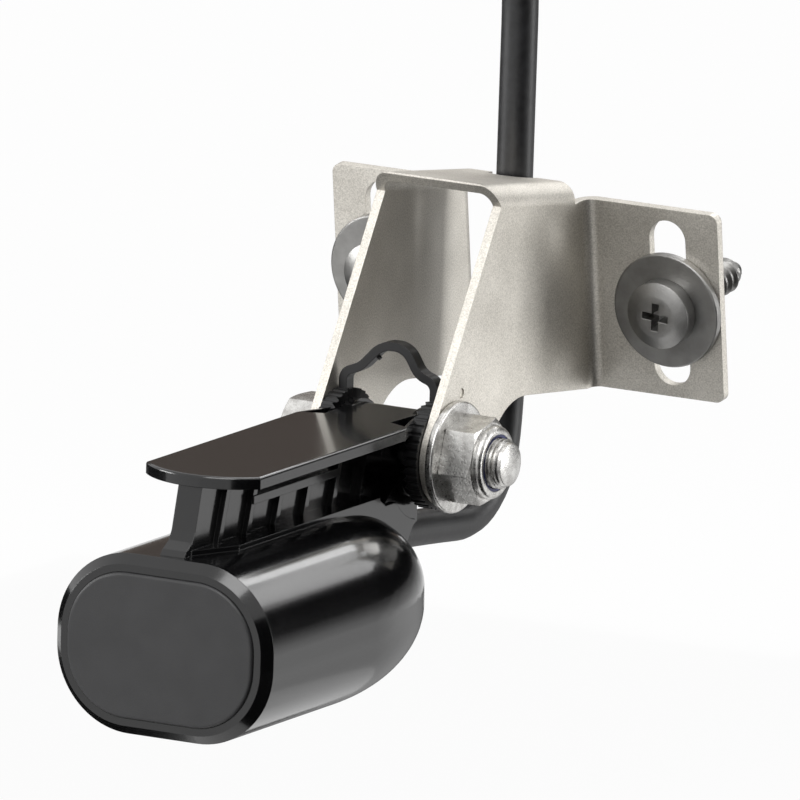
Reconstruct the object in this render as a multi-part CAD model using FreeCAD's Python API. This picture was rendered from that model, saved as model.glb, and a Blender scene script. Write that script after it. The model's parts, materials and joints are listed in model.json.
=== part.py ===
import FreeCAD, Part
import math
import os

# Sonar transducer for a boat's transom: a bullet-shaped sounder that tilts in a folded bracket.
# Millimetres. +Z is up, +Y points at the boat, +X is to the right seen from behind the boat.
# The origin is on the transom face of the bracket's ears, midway between the slots' centres.

V = FreeCAD.Vector
X_AXIS = V(1, 0, 0)
Y_AXIS = V(0, 1, 0)
Z_AXIS = V(0, 0, 1)

# Where the pivot is, from the origin
pivot_behind = 43.85
pivot_below = 19.25

# Bracket sheet
sheet = 1.5
bend_inner = 1.8
hood_half_width = 11.1
hood_length = 26.3
hood_front_behind = 32.55      # aft edge of the top plate, behind the origin
hood_front_above = 21.6
hood_slope_deg = 8.2
hood_front_lean = 2.6          # how far the walls start forward of the top plate's aft edge
tip_radius = 7.7
wall_arc_radius = 11.0
wall_arc_ahead = 21.8          # centre of the walls' lower arc, from the pivot
wall_arc_below = 5.1
mark_radius = 0.8
mark_depth = 0.25
mark_ahead = 2.4
mark_above = 9.6

# Bracket ears
rake_deg = 7.8
ear_height = 30.75
ear_top_radius = 1.5
ear_bottom_radius = 1.4
slot_spacing = 50.8
slot_length = 27.0
slot_width = 6.4
ear_margin = 9.0               # from a slot's centre line to the ear's outer edge

# Pivot bolt, washer and nut
bolt_radius = 3.95
bolt_hole_clearance = 0.25
bolt_end_chamfer = 0.8
bolt_head_flats = 12.7
bolt_head_height = 5.6
bolt_dish_radius = 3.6
bolt_dish_floor = 2.2
bolt_dish_depth = 0.5
bolt_past_nut = 2.35
washer_outer_radius = 8.75
washer_thickness = 1.2
washer_edge = 0.3
nut_flats = 12.1
nut_chamfer_deg = 25.0
nut_bevel = 0.35
nut_hex_height = 5.5
nut_height = 6.9
nut_crown_radius = 5.75
nut_crown_round = 0.8
nut_turn_deg = 12.0
insert_radius = 4.9
insert_depth = 1.8
insert_recess = 0.1
insert_lip = 0.4
thread_clearance = 0.05

# Mounting screws and their washers
screw_drop = 0.9               # below the slots' centres
screw_length = 22.2
screw_radius = 2.75
screw_neck_radius = 2.3        # plain neck in the washer and the sheet
screw_neck_past = 0.6          # how far the neck shows past the sheet
screw_point = 1.6
screw_tip_radius = 1.7
screw_head_radius = 5.35
screw_head_height = 3.4
screw_head_edge = 2.5
screw_head_flat = 3.2
screw_head_round = 0.35
screw_runout = 0.4             # from the neck to the full shank
left_recess_turn_deg = 28.0
right_recess_turn_deg = 5.0
recess_arm = 2.6
recess_width = 1.2
recess_depth = 2.0
screw_washer_radius = 9.2
screw_washer_thickness = 1.5
screw_washer_clearance = 0.2

# Ratchet discs and strap
ratchet_radius = 8.5
ratchet_gap = 0.1              # from the disc to the bracket's wall
ratchet_bore_clearance = 0.3
ratchet_relief = 0.35          # between the disc's rim and the arm's plate
tooth_plane = 7.2              # middle of the meshing teeth, from the centre plane
tooth_height = 0.7
tooth_gap = 0.12
tooth_count = 36
rim_groove_count = 40
rim_groove_radius = 0.32
strap_thickness = 1.4
strap_foot_depth = 1.0         # into the disc's rim
strap_width = 2.2
strap_side = 8.1
strap_shoulder_above = 11.3
strap_arch_half_width = 5.2
strap_arch_above = 12.2
strap_peak_right = 0.7
strap_peak_half_width = 2.1
strap_peak_above = 16.2
gate_radius = 0.35
gate_height = 0.5

# Bullet body
body_half_width = 19.15
body_top_below = 5.7           # below the pivot
body_height = 28.3
body_corner = 13.0
body_least_side = 0.4          # of flat side that stays between the corners
body_aft = 70.0                # aft rim, behind the pivot
rim_chamfer = 1.5
rim_width = 1.2
nose_start = 36.05             # behind the pivot
nose_length = 34.15
body_wall = 2.4
nose_solid = 9.0               # of moulding in front of the hollow

# End cap
cap_depth = 3.0
cap_proud = 0.5
cap_edge = 0.45
cap_clearance = 0.06

# Arm: top plate, web, ribs, ledge, flange
plate_half_width = 10.15
plate_thickness = 1.9
plate_tail_ahead = 11.85       # tail corners, ahead of the body's aft rim
plate_bulge = 4.6
plate_taper_start = 13.2
plate_taper_end = 2.8
plate_neck_half_width = 6.4
plate_edge = 0.45
pocket_depth = 1.3
pocket_rim = 0.9
web_thickness = 4.2
web_top_ahead = 8.1            # ahead of the body's aft rim
web_low_ahead = 6.2
web_low_below = 2.2
web_foot_ahead = 2.8
rib_pitch = 8.77
rib_count = 6
rib_first_ahead = 13.1         # aft face of the first rib at the pivot's height, ahead of the body's aft rim
rib_lean_deg = 17.0            # the ribs' tops lean forward
rib_thickness = 1.2
rib_proud = 0.95
ledge_above = 0.9
ledge_thickness = 1.3
ledge_proud = 1.15
ledge_from_rib = 2             # the ledge starts at this rib and ends at the fifth
ledge_to_rib = 5
flange_half_width = 6.0
flange_height = 0.8
flange_taper = 8.0

# Knuckle and neck
knuckle_radius = 6.5
knuckle_half_width = 5.4
knuckle_face_radius = 7.1
knuckle_bore_clearance = 0.2
neck_arc_radius = 10.4         # hollow round the ratchets, about the pivot
neck_step = 13.3
neck_front_top = 0.5           # behind the pivot
neck_front_low = 3.9
neck_front_low_below = 14.9
neck_chamfer = 1.3
neck_heel = 2.3
neck_step_depth = 0.4
neck_step_run = 1.8
core_passage_radius = 1.7

# Cable
cable_radius = 2.9
cable_clearance = 0.05
cable_socket_end = 9.0         # behind the pivot
notch_clearance = 1.1
cable_socket_below = 13.05     # below the pivot
cable_exit_ahead = 2.0
cable_sag = 3.05               # from the socket to the lowest point of the route
cable_bend = 11.3              # how far before the rise the cable starts to turn up
cable_rise_behind = 6.25       # behind the transom face
cable_rise_lean = 1.0
cable_leaves_view = 68.0       # above the pivot, where the cable turns to the coil
coil_behind = 16.35            # behind the transom face
coil_turn_radius = 40.5
coil_bundle_radius = 14.5
coil_above = 131.0             # centre of the coil, above the pivot
coil_entry_behind = 7.0        # how far the cable turns back where it meets the coil
tail_gap = 5.2                 # from the coil to the tail where it lies along it
tail_step = 12.0
tie_width = 7.0
tie_thickness = 1.1
tie_clearance = 0.3

# Plug
relief_length = 12.0
relief_inside = 6.0            # how far it reaches back over the cable
relief_wall = 1.0
relief_radius = 4.6
plug_radius = 7.6
plug_length = 24.0
plug_wall = 1.4
plug_edge = 1.6
plug_floor = 1.0               # from the pins' roots to the mouth's floor
collar_radius = 9.2
collar_length = 13.0
collar_wall = 1.3
collar_overlap = 8.0
collar_clearance = 0.15
collar_grip_count = 24
collar_grip_radius = 0.6
collar_grip_margin = 1.5
collar_edge = 0.6
pin_radius = 0.75
pin_length = 5.5
pin_circle = 4.2
pin_count = 6

# Sensing element and what is round it
piezo_radius = 9.5
piezo_thickness = 2.6
piezo_behind = 42.0            # centre, behind the pivot
cork_thickness = 1.6
element_clearance = 0.1
sensor_radius = 1.2
sensor_length = 3.6
sensor_behind = 17.5
lead_radius = 0.6
lead_spread = 1.0
lead_end_gap = 0.02


# Small helpers

def rod(radius, start, end):
    """A round rod between two points."""
    return Part.makeCylinder(radius, (end - start).Length, start, end - start)


def cross_rod(radius, x0, x1):
    """A round rod on the pivot's axis."""
    return rod(radius, V(x0, 0, 0), V(x1, 0, 0))


def block(x0, x1, y0, y1, z0, z1):
    return Part.makeBox(x1 - x0, y1 - y0, z1 - z0, V(x0, y0, z0))


def line(a, b):
    return Part.LineSegment(a, b).toShape()


def arc(a, middle, b):
    return Part.Arc(a, middle, b).toShape()


def outline(points):
    """A face inside straight lines through the points."""
    return Part.Face(Part.makePolygon(points + [points[0]]))


def side_plate(points, x0, x1):
    """A side view of (forward, up) points, made solid from x0 to x1."""
    return outline([V(x0, y, z) for y, z in points]).extrude(V(x1 - x0, 0, 0))


def both_sides(shape):
    """A shape and its mirror image in the centre plane."""
    return [shape, shape.mirror(V(0, 0, 0), X_AXIS)]


def fuse(shapes):
    return shapes[0].multiFuse(shapes[1:]).removeSplitter()


def hexagon(flats, x0, x1, turn_deg):
    """A hexagonal prism on the pivot's axis."""
    corner = flats / math.sqrt(3)
    points = []
    for i in range(6):
        angle = math.radians(turn_deg + 60 * i)
        points.append(V(x0, corner * math.cos(angle), corner * math.sin(angle)))
    return outline(points).extrude(V(x1 - x0, 0, 0))


def bent_line(points, share=0.45):
    """Straight runs through the points, joined by tangent arcs, and the arcs' radii."""
    edges = []
    radii = []
    start = points[0]
    for before, corner, after in zip(points, points[1:], points[2:]):
        into = before - corner
        out = after - corner
        reach = share * min(into.Length, out.Length)
        into.normalize()
        out.normalize()
        half_turn = (math.pi - into.getAngle(out)) / 2
        radius = reach / math.tan(half_turn)
        bisector = into + out
        bisector.normalize()
        enter = corner + into * reach
        leave = corner + out * reach
        middle = corner + bisector * (radius / math.cos(half_turn) - radius)
        edges.append(line(start, enter))
        edges.append(arc(enter, middle, leave))
        radii.append(radius)
        start = leave
    edges.append(line(start, points[-1]))
    return Part.Wire(edges), radii


def tube(points, radius, name):
    """A round tube along a bent line. Prints its radii, and its volume against section times length."""
    path, radii = bent_line(points)
    section = Part.Wire(Part.makeCircle(radius, points[0], points[1] - points[0]))
    solid = path.makePipeShell([section], True, False)
    expected = math.pi * radius ** 2 * path.Length
    print(name, "length", round(path.Length, 1), "radii", [round(r, 1) for r in radii],
          "volume ratio", round(solid.Volume / expected, 5))
    return solid


# Places that follow from the sizes above

ear_half_width = slot_spacing / 2 + ear_margin
plate_tail = body_aft - plate_tail_ahead
web_top_aft = body_aft - web_top_ahead
web_low_aft = body_aft - web_low_ahead
web_foot_aft = body_aft - web_foot_ahead
rib_first = body_aft - rib_first_ahead
neck_front_top_below = math.sqrt(neck_arc_radius ** 2 - neck_front_top ** 2)


# Directions of the two tilted planes of the bracket

rake = math.radians(rake_deg)
ear_down = V(0, math.sin(rake), -math.cos(rake))
ear_out = V(0, math.cos(rake), math.sin(rake))
slope = math.radians(hood_slope_deg)
hood_along = V(0, math.cos(slope), -math.sin(slope))
hood_up = V(0, math.sin(slope), math.cos(slope))
ear_centre = V(0, pivot_behind, pivot_below)
hood_corner = V(0, pivot_behind - hood_front_behind, pivot_below + hood_front_above)
bend_outer = bend_inner + sheet
hood_inner = hood_half_width - sheet


def on_ear(x, out, down):
    """A point from the ears' transom face at the slots' centre height."""
    return ear_centre + X_AXIS * x + ear_out * out + ear_down * down


def on_hood(x, along, up):
    """A point from the aft edge of the top plate's outer face."""
    return hood_corner + X_AXIS * x + hood_along * along + hood_up * up


def quarter(centre, a, b, radius):
    """The middle of the round corner between two directions from its centre."""
    return centre + (a + b) * (radius / math.sqrt(2))


# Bracket

def ear():
    """The right ear with the bend that joins it to the wall."""
    top = -ear_height / 2
    centre = on_ear(hood_half_width + bend_inner, -sheet - bend_inner, top)
    wall_in = on_ear(hood_inner, -sheet - bend_inner, top)
    wall_out = on_ear(hood_half_width, -sheet - bend_inner, top)
    flat_in = on_ear(hood_half_width + bend_inner, 0, top)
    flat_out = on_ear(hood_half_width + bend_inner, -sheet, top)
    edges = [
        arc(wall_in, quarter(centre, -X_AXIS, ear_out, bend_outer), flat_in),
        line(flat_in, on_ear(ear_half_width, 0, top)),
        line(on_ear(ear_half_width, 0, top), on_ear(ear_half_width, -sheet, top)),
        line(on_ear(ear_half_width, -sheet, top), flat_out),
        arc(flat_out, quarter(centre, -X_AXIS, ear_out, bend_inner), wall_out),
        line(wall_out, wall_in),
    ]
    solid = Part.Face(Part.Wire(edges)).extrude(ear_down * ear_height)
    for down, radius in ((-ear_height / 2, ear_top_radius), (ear_height / 2, ear_bottom_radius)):
        corner = on_ear(ear_half_width, -sheet / 2, down)
        edge = min(solid.Edges, key=lambda e: (e.CenterOfMass - corner).Length)
        solid = solid.makeFillet(radius, [edge])
    straight = (slot_length - slot_width) / 2
    half = slot_width / 2
    x = slot_spacing / 2
    a = on_ear(x - half, -2 * sheet, -straight)
    b = on_ear(x + half, -2 * sheet, -straight)
    c = on_ear(x + half, -2 * sheet, straight)
    d = on_ear(x - half, -2 * sheet, straight)
    slot = Part.Wire([
        arc(a, on_ear(x, -2 * sheet, -straight - half), b),
        line(b, c),
        arc(c, on_ear(x, -2 * sheet, straight + half), d),
        line(d, a),
    ])
    return solid.cut(Part.Face(slot).extrude(ear_out * 3 * sheet))


def wall():
    """The right wall below the hood's bend, with its round tip at the pivot and its lower arc."""
    top_aft = on_hood(0, hood_front_lean, -bend_outer)
    top_fore = on_hood(0, hood_length, -bend_outer)
    ear_top = on_ear(0, -sheet - bend_inner, -ear_height / 2)
    ear_low = on_ear(0, -sheet - bend_inner, ear_height / 2)
    arc_centre = V(0, wall_arc_ahead, -wall_arc_below)

    def touch(point, centre, radius, side):
        """Where a line from the point touches a circle."""
        away = point - centre
        angle = math.atan2(away.z, away.y) + side * math.acos(radius / away.Length)
        return centre + V(0, math.cos(angle), math.sin(angle)) * radius, angle

    tip, tip_angle = touch(top_aft, V(0, 0, 0), tip_radius, 1)
    lean = math.acos((tip_radius + wall_arc_radius) / arc_centre.Length)
    cross_angle = math.atan2(arc_centre.z, arc_centre.y) - lean
    tip_end = V(0, math.cos(cross_angle), math.sin(cross_angle)) * tip_radius
    arc_start = arc_centre - V(0, math.cos(cross_angle), math.sin(cross_angle)) * wall_arc_radius
    arc_end, end_angle = touch(ear_low, arc_centre, wall_arc_radius, 1)
    tip_middle_angle = (tip_angle + cross_angle + 2 * math.pi) / 2
    tip_middle = V(0, math.cos(tip_middle_angle), math.sin(tip_middle_angle)) * tip_radius
    arc_middle_angle = (end_angle + cross_angle + math.pi) / 2
    arc_middle = arc_centre + V(0, math.cos(arc_middle_angle), math.sin(arc_middle_angle)) * wall_arc_radius
    edges = [
        line(top_aft, tip),
        arc(tip, tip_middle, tip_end),
        line(tip_end, arc_start),
        arc(arc_start, arc_middle, arc_end),
        line(arc_end, ear_low),
        line(ear_low, ear_top),
        line(ear_top, top_fore),
        line(top_fore, top_aft),
    ]
    face = Part.Face(Part.Wire(edges))
    face.translate(X_AXIS * hood_inner)
    return face.extrude(X_AXIS * sheet)


def hood():
    """The top plate and the two bends at its sides, with the notch for the cable."""
    low_in = on_hood(hood_inner, 0, -bend_outer)
    low_out = on_hood(hood_half_width, 0, -bend_outer)
    flat_out = on_hood(hood_half_width - bend_outer, 0, 0)
    flat_in = on_hood(hood_half_width - bend_outer, 0, -sheet)
    centre = on_hood(hood_half_width - bend_outer, 0, -bend_outer)

    def mirrored(p):
        return V(-p.x, p.y, p.z)

    middle_out = quarter(centre, X_AXIS, hood_up, bend_outer)
    middle_in = quarter(centre, X_AXIS, hood_up, bend_inner)
    edges = [
        line(low_in, low_out),
        arc(low_out, middle_out, flat_out),
        line(flat_out, mirrored(flat_out)),
        arc(mirrored(flat_out), mirrored(middle_out), mirrored(low_out)),
        line(mirrored(low_out), mirrored(low_in)),
        arc(mirrored(low_in), mirrored(middle_in), mirrored(flat_in)),
        line(mirrored(flat_in), flat_in),
        arc(flat_in, middle_in, low_in),
    ]
    solid = Part.Face(Part.Wire(edges)).extrude(hood_along * hood_length)
    wide = hood_half_width + 1
    start = on_hood(-wide, -1, 0.2)
    lean_cut = outline([
        start,
        on_hood(-wide, 0, -0.3),
        on_hood(-wide, hood_front_lean, -bend_outer),
        on_hood(-wide, hood_front_lean, -bend_outer - 1),
        on_hood(-wide, -1, -bend_outer - 1),
    ]).extrude(X_AXIS * 2 * wide)
    solid = solid.cut(lean_cut)
    notch_radius = cable_radius + notch_clearance
    cable_place = V(0, pivot_behind - cable_rise_behind - cable_rise_lean / 2, 0)
    above = 2 * hood_corner.z
    notch = rod(notch_radius, cable_place, cable_place + Z_AXIS * above)
    reach = block(-notch_radius, notch_radius, cable_place.y, pivot_behind, 0, above)
    return solid.cut(notch).cut(reach)


def bracket():
    solid = fuse(both_sides(wall()) + both_sides(ear()) + [hood()])
    hole = cross_rod(bolt_radius + bolt_hole_clearance, -hood_half_width - 1, hood_half_width + 1)
    face = hood_half_width - mark_depth
    mark = rod(mark_radius, V(face, mark_ahead, mark_above), V(face + 1, mark_ahead, mark_above))
    return solid.cut(hole).cut(mark)


# Pivot hardware

washer_face = hood_half_width + washer_thickness
nut_end = washer_face + nut_height
bolt_end = nut_end + bolt_past_nut


def pivot_bolt():
    """A hex head bolt across the bracket, its head against the left wall."""
    head_end = V(-hood_half_width - bolt_head_height, 0, 0)
    head = hexagon(bolt_head_flats, head_end.x, -hood_half_width, 0)
    inner = bolt_head_flats / 2 - nut_bevel / 2
    flare = 2 * bolt_head_height / math.tan(math.radians(nut_chamfer_deg))
    head = head.common(Part.makeCone(inner, inner + flare, 2 * bolt_head_height, head_end, X_AXIS))
    head = head.cut(Part.makeCone(bolt_dish_radius, bolt_dish_floor, bolt_dish_depth, head_end, X_AXIS))
    shank = cross_rod(bolt_radius, -hood_half_width - bolt_head_height / 2, bolt_end)
    tip_edge = [e for e in shank.Edges if abs(e.CenterOfMass.x - bolt_end) < 0.01]
    shank = shank.makeChamfer(bolt_end_chamfer, tip_edge)
    return head.fuse(shank).removeSplitter()


def flat_washer(outer, inner, thickness, start, axis):
    end = start + axis * thickness
    disc = rod(outer, start, end)
    rims = [e for e in disc.Edges if e.Length > outer and len(e.Vertexes) == 1]
    disc = disc.makeFillet(washer_edge, rims)
    return disc.cut(rod(inner, start - axis, end + axis))


def pivot_washer():
    inner = bolt_radius + bolt_hole_clearance
    return flat_washer(washer_outer_radius, inner, washer_thickness, V(hood_half_width, 0, 0), X_AXIS)


def lock_nut():
    hex_end = washer_face + nut_hex_height
    body = hexagon(nut_flats, washer_face, hex_end, nut_turn_deg)
    corner = nut_flats / math.sqrt(3) - nut_bevel
    flat = nut_flats / 2 + nut_bevel / 4
    long = 2 * nut_hex_height
    flare = long / math.tan(math.radians(nut_chamfer_deg))
    outer_cone = Part.makeCone(flat + flare, flat, long, V(hex_end - long, 0, 0), X_AXIS)
    inner_cone = Part.makeCone(corner, corner + flare, long, V(washer_face, 0, 0), X_AXIS)
    body = body.common(outer_cone).common(inner_cone)
    crown = cross_rod(nut_crown_radius, hex_end - nut_crown_round, nut_end)
    rim = [e for e in crown.Edges if abs(e.CenterOfMass.x - nut_end) < 0.01]
    crown = crown.makeFillet(nut_crown_round, rim)
    solid = fuse([body, crown])
    bore = cross_rod(bolt_radius + thread_clearance, washer_face - 1, nut_end + 1)
    seat_start = nut_end - insert_recess - insert_depth
    seat = cross_rod(insert_radius, seat_start, nut_end - insert_recess)
    mouth = cross_rod(insert_radius - insert_lip, seat_start, nut_end + 1)
    return solid.cut(bore).cut(seat).cut(mouth)


def nut_insert():
    start = nut_end - insert_recess - insert_depth
    end = nut_end - insert_recess
    ring = cross_rod(insert_radius - thread_clearance, start, end)
    return ring.cut(cross_rod(bolt_radius + thread_clearance, start - 1, end + 1))


# Mounting screws

def screw(x, turn_deg):
    """A pan head screw in the slot, below its centre, with its washer's thickness under the head."""
    back = ear_out * -1
    seat = on_ear(x, -sheet - screw_washer_thickness, screw_drop)
    side_end = seat + back * screw_head_edge
    top = seat + back * screw_head_height
    side = rod(screw_head_radius, seat, side_end)
    dome_height = screw_head_height - screw_head_edge
    dome_drop = (dome_height ** 2 + screw_head_radius ** 2 - screw_head_flat ** 2) / (2 * dome_height)
    sphere = Part.makeSphere(math.hypot(dome_drop, screw_head_flat), top - back * dome_drop)
    dome = rod(screw_head_radius, side_end, top).common(sphere)
    head = fuse([side, dome])
    corner = [e for e in head.Edges if (e.CenterOfMass - side_end).Length < 0.01]
    head = head.makeFillet(screw_head_round, corner)
    neck_end = seat + ear_out * (screw_washer_thickness + sheet + screw_neck_past)
    shank_start = neck_end + ear_out * screw_runout
    shank_end = seat + ear_out * (screw_length - screw_point)
    neck = rod(screw_neck_radius, seat + back * screw_head_round, neck_end)
    runout = Part.makeCone(screw_neck_radius, screw_radius, screw_runout, neck_end, ear_out)
    shank = rod(screw_radius, shank_start, shank_end)
    point = Part.makeCone(screw_radius, screw_tip_radius, screw_point, shank_end, ear_out)
    solid = fuse([head, neck, runout, shank, point])
    for turn in (turn_deg, turn_deg + 90):
        arm = Part.makeBox(2 * recess_arm, recess_width, 2 * recess_depth,
                           V(-recess_arm, -recess_width / 2, -recess_depth))
        arm.rotate(V(0, 0, 0), Z_AXIS, turn)
        arm.Placement = FreeCAD.Placement(top, FreeCAD.Rotation(Z_AXIS, back)).multiply(arm.Placement)
        solid = solid.cut(arm)
    return solid


def mounting_screws():
    half = slot_spacing / 2
    return Part.makeCompound([screw(-half, left_recess_turn_deg), screw(half, right_recess_turn_deg)])


def screw_washers():
    inner = screw_radius + screw_washer_clearance
    washers = []
    for x in (-slot_spacing / 2, slot_spacing / 2):
        start = on_ear(x, -sheet - screw_washer_thickness, screw_drop)
        washers.append(flat_washer(screw_washer_radius, inner, screw_washer_thickness, start, ear_out))
    return Part.makeCompound(washers)


# Ratchets

def toothed_disc(radius, back_x, middle_x, height):
    """A disc from back_x to a face of radial teeth about middle_x, on the pivot's axis."""
    count = 2 * tooth_count
    rim = []
    base = []
    for i in range(count):
        angle = 2 * math.pi * i / count
        y = radius * math.cos(angle)
        z = radius * math.sin(angle)
        side = height / 2 if i % 2 else -height / 2
        rim.append(V(middle_x + side, y, z))
        base.append(V(back_x, y, z))
    centre = V(middle_x, 0, 0)
    faces = [outline(base)]
    for i in range(count):
        j = (i + 1) % count
        faces.append(outline([centre, rim[i], rim[j]]))
        faces.append(outline([base[i], base[j], rim[j], rim[i]]))
    solid = Part.makeSolid(Part.makeShell(faces))
    if solid.Volume < 0:
        solid.reverse()
    return solid


def strap_points():
    foot = ratchet_radius - strap_foot_depth
    left = strap_peak_right - strap_peak_half_width
    right = strap_peak_right + strap_peak_half_width
    return [
        V(-strap_side, 0, foot),
        V(-strap_side, 0, strap_shoulder_above),
        V(-strap_arch_half_width, 0, strap_arch_above),
        V(left, 0, strap_peak_above),
        V(right, 0, strap_peak_above),
        V(strap_arch_half_width, 0, strap_arch_above),
        V(strap_side, 0, strap_shoulder_above),
        V(strap_side, 0, foot),
    ]


def strap():
    """The thin band that joins the discs over the knuckle, with a moulding stub under its left ramp."""
    points = strap_points()
    x = strap_thickness / 2
    y = strap_width / 2
    corners = [points[0] + V(a * x, b * y, 0) for a, b in ((-1, -1), (1, -1), (1, 1), (-1, 1))]
    path = bent_line(points)[0]
    band = path.makePipeShell([Part.makePolygon(corners + corners[:1])], True, False)
    ramp = points[3] - points[2]
    place = points[2] + ramp * 0.6
    inward = ramp.cross(Y_AXIS) * -1
    inward.normalize()
    return [band, rod(gate_radius, place, place + inward * (x + gate_height))]


def ratchet_pair():
    outer = hood_inner - ratchet_gap
    bore = bolt_radius + ratchet_bore_clearance
    groove_ring = ratchet_radius + rim_groove_radius / 3
    middle = tooth_plane + tooth_gap
    disc = toothed_disc(ratchet_radius, outer, middle, tooth_height * ratchet_radius / knuckle_face_radius)
    disc = disc.cut(cross_rod(bore, 0, hood_inner))
    grooves = []
    for i in range(rim_groove_count):
        angle = 2 * math.pi * (i + 0.5) / rim_groove_count
        place = V(tooth_plane - tooth_height, groove_ring * math.cos(angle), groove_ring * math.sin(angle))
        grooves.append(rod(rim_groove_radius, place, V(hood_inner, place.y, place.z)))
    disc = disc.cut(Part.makeCompound(grooves))
    return fuse(both_sides(disc) + strap())


# Housing

body_corner_fitted = min(body_corner, (body_height - body_least_side) / 2, body_half_width - body_least_side / 2)


def bullet(inset, aft, nose_reach):
    """The body's outer form, or its hollow when inset, from its aft end to the nose."""
    half = body_half_width - inset
    top = -body_top_below - inset
    low = -body_top_below - body_height + inset
    corner = body_corner_fitted - inset
    flat = half - corner
    turn = corner / math.sqrt(2)
    right = [
        arc(V(flat, 0, top), V(flat + turn, 0, top - corner + turn), V(half, 0, top - corner)),
        line(V(half, 0, top - corner), V(half, 0, low + corner)),
        arc(V(half, 0, low + corner), V(flat + turn, 0, low + corner - turn), V(flat, 0, low)),
    ]
    left = [
        arc(V(-flat, 0, low), V(-flat - turn, 0, low + corner - turn), V(-half, 0, low + corner)),
        line(V(-half, 0, low + corner), V(-half, 0, top - corner)),
        arc(V(-half, 0, top - corner), V(-flat - turn, 0, top - corner + turn), V(-flat, 0, top)),
    ]
    across_low = [line(V(flat, 0, low), V(-flat, 0, low))]
    across_top = [line(V(-flat, 0, top), V(flat, 0, top))]
    section = Part.Face(Part.Wire(right + across_low + left + across_top))
    section.translate(V(0, -aft, 0))
    straight = section.extrude(V(0, aft - nose_start, 0))
    half_section = Part.Face(Part.Wire(
        [line(V(0, 0, top), V(flat, 0, top))] + right
        + [line(V(flat, 0, low), V(0, 0, low)), line(V(0, 0, low), V(0, 0, top))]
    ))
    nose = half_section.revolve(V(0, 0, 0), Z_AXIS, 180)
    stretch = FreeCAD.Matrix()
    stretch.scale(V(1, nose_reach / half, 1))
    nose = nose.transformGeometry(stretch)
    nose.translate(V(0, -nose_start, 0))
    return straight.fuse(nose)


def rim_slice(inset, y0, y1):
    """The body's section, inset, from y0 to y1."""
    reach = body_half_width + body_height + body_top_below
    return bullet(inset, body_aft + 2 * cap_depth, nose_length).common(block(-reach, reach, y0, y1, -reach, reach))


def plate():
    """The arm's flat top plate with its curved tail, its taper between the ratchets and two pockets."""
    top = knuckle_radius
    w = plate_half_width
    n = plate_neck_half_width
    tail_left = V(-w, -plate_tail, top)
    tail_right = V(w, -plate_tail, top)
    points = [
        tail_right,
        V(w, -plate_taper_start, top),
        V(n, -plate_taper_end, top),
        V(n, 0, top),
        V(-n, 0, top),
        V(-n, -plate_taper_end, top),
        V(-w, -plate_taper_start, top),
        tail_left,
    ]
    edges = [line(a, b) for a, b in zip(points, points[1:])]
    edges.append(arc(tail_left, V(0, -plate_tail - plate_bulge, top), tail_right))
    solid = Part.Face(Part.Wire(edges)).extrude(V(0, 0, -plate_thickness))
    long_edges = [
        e for e in solid.Edges
        if abs(e.CenterOfMass.z - top) < 0.01 and e.CenterOfMass.y < -plate_taper_start
        and e.Length > plate_half_width / 2
    ]
    solid = solid.makeFillet(plate_edge, long_edges)
    inner = plate_neck_half_width - 0.4
    pocket = outline([
        V(inner, -plate_taper_start + 2.7, top),
        V(plate_half_width - pocket_rim, -plate_taper_start + 1.4, top),
        V(plate_neck_half_width, -plate_taper_end - 0.2, top),
    ]).extrude(V(0, 0, -pocket_depth))
    pocket.translate(V(-0.15, 0, 0))
    relief = cross_rod(ratchet_radius + ratchet_relief, tooth_plane - tooth_height, hood_half_width)
    for cutter in both_sides(pocket) + both_sides(relief):
        solid = solid.cut(cutter)
    return solid


def web():
    """The thin wall between the top plate and the body, with ribs, a ledge and a foot flange."""
    under = knuckle_radius - plate_thickness
    floor = -body_top_below
    half = web_thickness / 2
    flange_top = floor + flange_height
    foot = [
        (-web_top_aft, under + plate_edge),
        (-web_low_aft, -web_low_below),
        (-web_low_aft - flange_height, flange_top + 1.2),
        (-web_foot_aft + flange_height, flange_top + 0.1),
        (-web_foot_aft, floor + 0.05),
        (-web_foot_aft, floor - 1),
        (-knuckle_radius / 2, floor - 1),
        (-knuckle_radius / 2, under + plate_edge),
    ]
    pieces = [side_plate(foot, -half, half)]
    reach = half + rib_proud
    lean = math.tan(math.radians(rib_lean_deg))
    rib_low = floor - flange_height / 2
    for i in range(rib_count):
        aft = -rib_first + i * rib_pitch
        on_ledge = ledge_from_rib <= i < ledge_to_rib - 1
        rib_top = ledge_above - ledge_thickness / 2 if on_ledge else under + plate_edge
        pieces.append(side_plate([
            (aft + lean * rib_low, rib_low),
            (aft + lean * rib_low + rib_thickness, rib_low),
            (aft + lean * rib_top + rib_thickness, rib_top),
            (aft + lean * rib_top, rib_top),
        ], -reach, reach))
    reach = half + ledge_proud
    first = -rib_first + (ledge_from_rib - 1) * rib_pitch + lean * ledge_above
    last = -rib_first + (ledge_to_rib - 1) * rib_pitch + lean * ledge_above
    pieces.append(block(-reach, reach, first, last, ledge_above - ledge_thickness, ledge_above))
    flange = outline([
        V(-flange_half_width, -neck_step, flange_top),
        V(-flange_half_width, -rib_first, flange_top),
        V(-half, -rib_first - flange_taper, flange_top),
        V(half, -rib_first - flange_taper, flange_top),
        V(flange_half_width, -rib_first, flange_top),
        V(flange_half_width, -neck_step, flange_top),
    ]).extrude(V(0, 0, -2 * flange_height))
    pieces.append(flange)
    return pieces


def knuckle():
    """The barrel for the bolt with a toothed face at each end."""
    barrel = cross_rod(knuckle_radius, -knuckle_half_width, knuckle_half_width)
    face = toothed_disc(knuckle_face_radius, knuckle_half_width, tooth_plane, tooth_height)
    return [barrel] + both_sides(face)


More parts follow.
